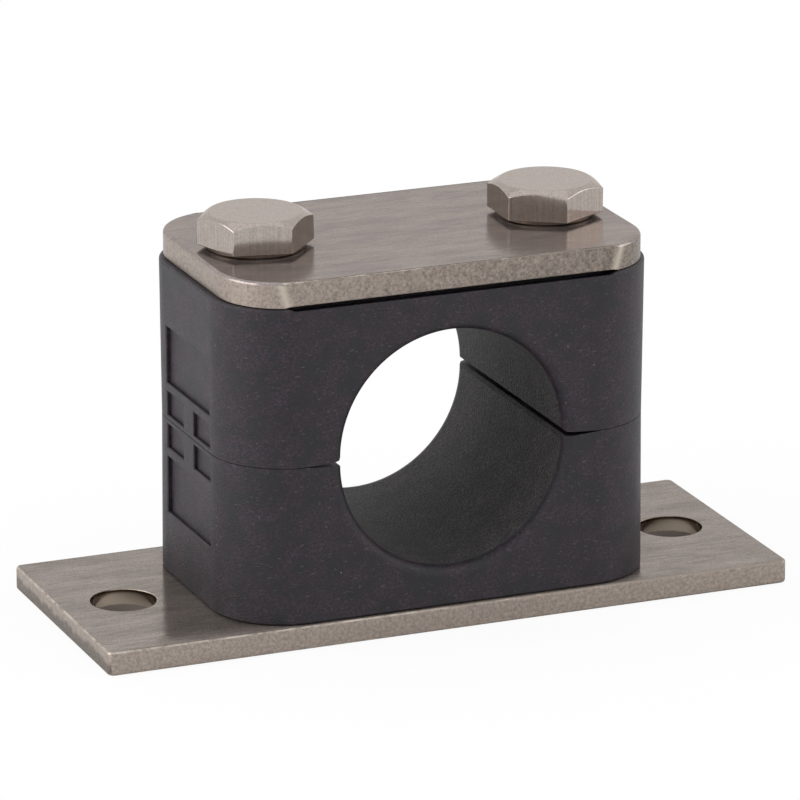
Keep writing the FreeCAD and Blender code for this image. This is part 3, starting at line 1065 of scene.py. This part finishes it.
# Each piece stands for its node and moves with its body
pieces = (
    (plate, "weld_plate", "base", "weld_plate_steel"),
    (lowerHalf, "lower_clamp_half", "base", "clamp_plastic"),
    (upperHalf, "upper_clamp_half", "top", "clamp_plastic"),
    (cover, "cover_plate", "top", "cover_plate_steel"),
    (leftBolt, "hex_bolt_left", "left_bolt", "bolt_steel"),
    (rightBolt, "hex_bolt_right", "right_bolt", "bolt_steel"),
)
for piece, node, body, slot in pieces:
    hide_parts(node)
    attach(piece, body)
print("Pieces ride on their bodies")


# Studio: a plain pale floor, a white surround and soft lamps

studio = {
    "floorSize": 3000,
    "floorDrop": 0.02,
    "floorColour": "#F4F4F4",
    "floorGlow": 0.9,
    "surroundColour": "#FFFFFF",
    "ambient": 0.8,
}


# The camera sees the floor mostly as plain white, so the object's shadow stays pale
def makeFloor():
    look = studio
    bpy.ops.object.select_all(action="DESELECT")
    bpy.ops.mesh.primitive_plane_add(size=look["floorSize"] * mm, location=(0, 0, -look["floorDrop"] * mm))
    floor = bpy.context.object
    floor.name = "floor"
    setPlace(floor)
    material = newMaterial("paleFloor")
    tree = material.node_tree
    lightPath = addNode(tree, "LightPath", {}, {})
    glow = calculate(tree, "MULTIPLY", lightPath.outputs["Is Camera Ray"], look["floorGlow"])
    matte = addNode(tree, "BsdfDiffuse", {}, {"Color": srgb(look["floorColour"])})
    white = addNode(tree, "Emission", {}, {"Color": srgb(look["surroundColour"]), "Strength": 1})
    mixed = addNode(tree, "MixShader", {}, {"Fac": glow, 1: matte.outputs[0], 2: white.outputs[0]})
    addNode(tree, "OutputMaterial", {}, {"Surface": mixed.outputs[0]})
    floor.data.materials.append(material)


# Camera, mirrored and transmitted rays see full white, and the light that it casts is a little weaker
def makeSurround():
    look = studio
    world = bpy.data.worlds.new("surround")
    bpy.context.scene.world = world
    world.use_nodes = True
    tree = world.node_tree
    tree.nodes.clear()
    lightPath = addNode(tree, "LightPath", {}, {})
    seen = calculate(
        tree, "MAXIMUM", lightPath.outputs["Is Camera Ray"], lightPath.outputs["Is Glossy Ray"])
    shown = calculate(tree, "MAXIMUM", seen, lightPath.outputs["Is Transmission Ray"])
    strength = remap(tree, shown, (0, 1), (look["ambient"], 1))
    background = addNode(tree, "Background", {}, {
        "Color": srgb(look["surroundColour"]), "Strength": strength})
    addNode(tree, "OutputWorld", {}, {"Surface": background.outputs[0]})


# Places and sizes in millimetres, powers in watts
lamps = {
    "leftSoftbox": {"place": (-720, 40, 330), "size": 700, "power": 3.7},
    "rightSoftbox": {"place": (700, -260, 380), "size": 600, "power": 1.5},
    "topSoftbox": {"place": (0, 100, 850), "size": 800, "power": 0.4},
}


def makeLamps():
    for name, lamp in lamps.items():
        data = bpy.data.lights.new(name, "AREA")
        data.shape = "SQUARE"
        data.size = lamp["size"] * mm
        data.energy = lamp["power"]
        holder = bpy.data.objects.new(name, data)
        bpy.context.scene.collection.objects.link(holder)
        holder.location = Vector(lamp["place"]) * mm
        towards = Vector((0, 0, splitHeight)) * mm - holder.location
        holder.rotation_euler = towards.to_track_quat("-Z", "Y").to_euler()


# The camera stands where the photograph was taken from
photoView = {
    "turn": 22.35,
    "tilt": 17.61,
    "distance": 638.9,
    "aimSideways": -0.16,
    "aimHeight": 20.88,
    "focalLength": 270.1,
    "sensorWidth": 36,
    "clipEnd": 10000,
}


def makeCamera():
    view = photoView
    turn = math.radians(view["turn"])
    tilt = math.radians(view["tilt"])
    right = Vector((math.cos(turn), -math.sin(turn), 0))
    back = Vector((
        -math.sin(turn) * math.cos(tilt), -math.cos(turn) * math.cos(tilt), math.sin(tilt)))
    data = bpy.data.cameras.new("photoCamera")
    data.lens = view["focalLength"]
    data.sensor_width = view["sensorWidth"]
    data.clip_end = view["clipEnd"] * mm
    camera = bpy.data.objects.new("photoCamera", data)
    bpy.context.scene.collection.objects.link(camera)
    aim = right * view["aimSideways"] + Vector((0, 0, view["aimHeight"]))
    camera.location = (aim + back * view["distance"]) * mm
    camera.rotation_euler = back.to_track_quat("Z", "Y").to_euler()
    bpy.context.scene.camera = camera


makeFloor()
makeSurround()
makeLamps()
makeCamera()
bpy.context.scene.view_settings.view_transform = "Standard"
print("Floor, surround, lamps and camera are in place")
